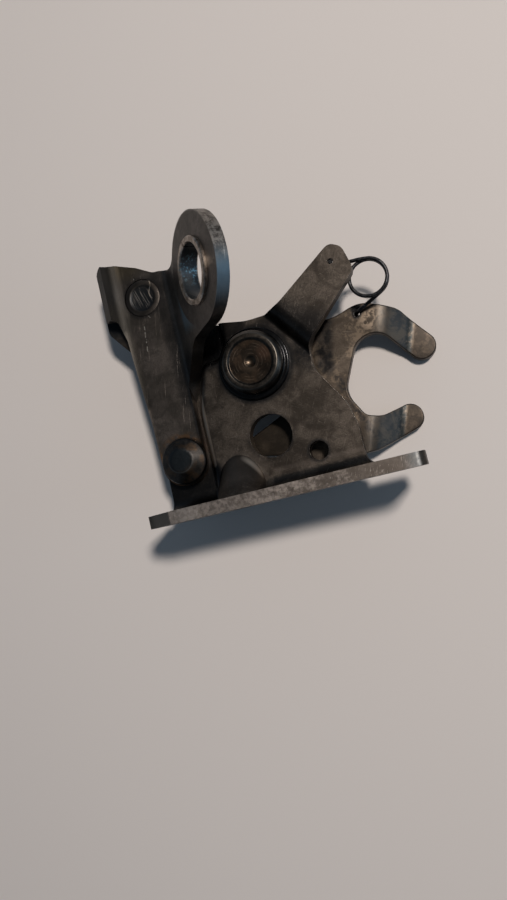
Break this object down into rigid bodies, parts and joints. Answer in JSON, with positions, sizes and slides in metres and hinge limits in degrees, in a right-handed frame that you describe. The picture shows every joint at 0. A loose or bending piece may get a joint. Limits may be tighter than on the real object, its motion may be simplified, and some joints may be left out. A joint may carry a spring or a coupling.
{
  "type": "reverse shift holder",
  "caption": "Pressed steel gearbox bracket with a bolting flange, a folded guide ear with a bush, and a C-shaped reverse fork swinging on a headed pin against a wire spring.",
  "frame": {"origin": "centre between the two flange bolt holes, on the outer face of the flange that sits on the gearbox", "axes": "mounting face looks along -Y, the web stands along +Y with its front towards +Z, the fork opens towards +X"},
  "size_m": [0.0923, 0.0799, 0.0433],
  "materials": {
    "holder_steel": "satin, oily and scratched",
    "arm_steel": "satin, oily and scratched",
    "bush_steel": "worn bright",
    "rivet_steel": "dark, heat tinted",
    "pin_steel": "turned, brown tint",
    "fork_steel": "hardened, blued",
    "spring_wire": "dark spring wire"
  },
  "bodies": {
    "holder": {"holder_plate": "holder_steel", "guide_arm": "arm_steel", "guide_bush": "bush_steel", "lower_rivet": "rivet_steel", "upper_rivet": "rivet_steel", "pivot_pin": "pin_steel", "pivot_washer": "pin_steel", "return_spring": "spring_wire"},
    "fork": {"reverse_fork": "fork_steel"}
  },
  "joints": [
    {"name": "fork_swing", "type": "hinge", "parent": "holder", "child": "fork", "pos_m": [-0.0029, 0.0389, -0.0189], "axis": [0, 0, 1], "range_deg": [0, 13], "stiffness_Nm_per_rad": 0.15, "springref_deg": -20.05, "deforming": ["return_spring"]}
  ]
}
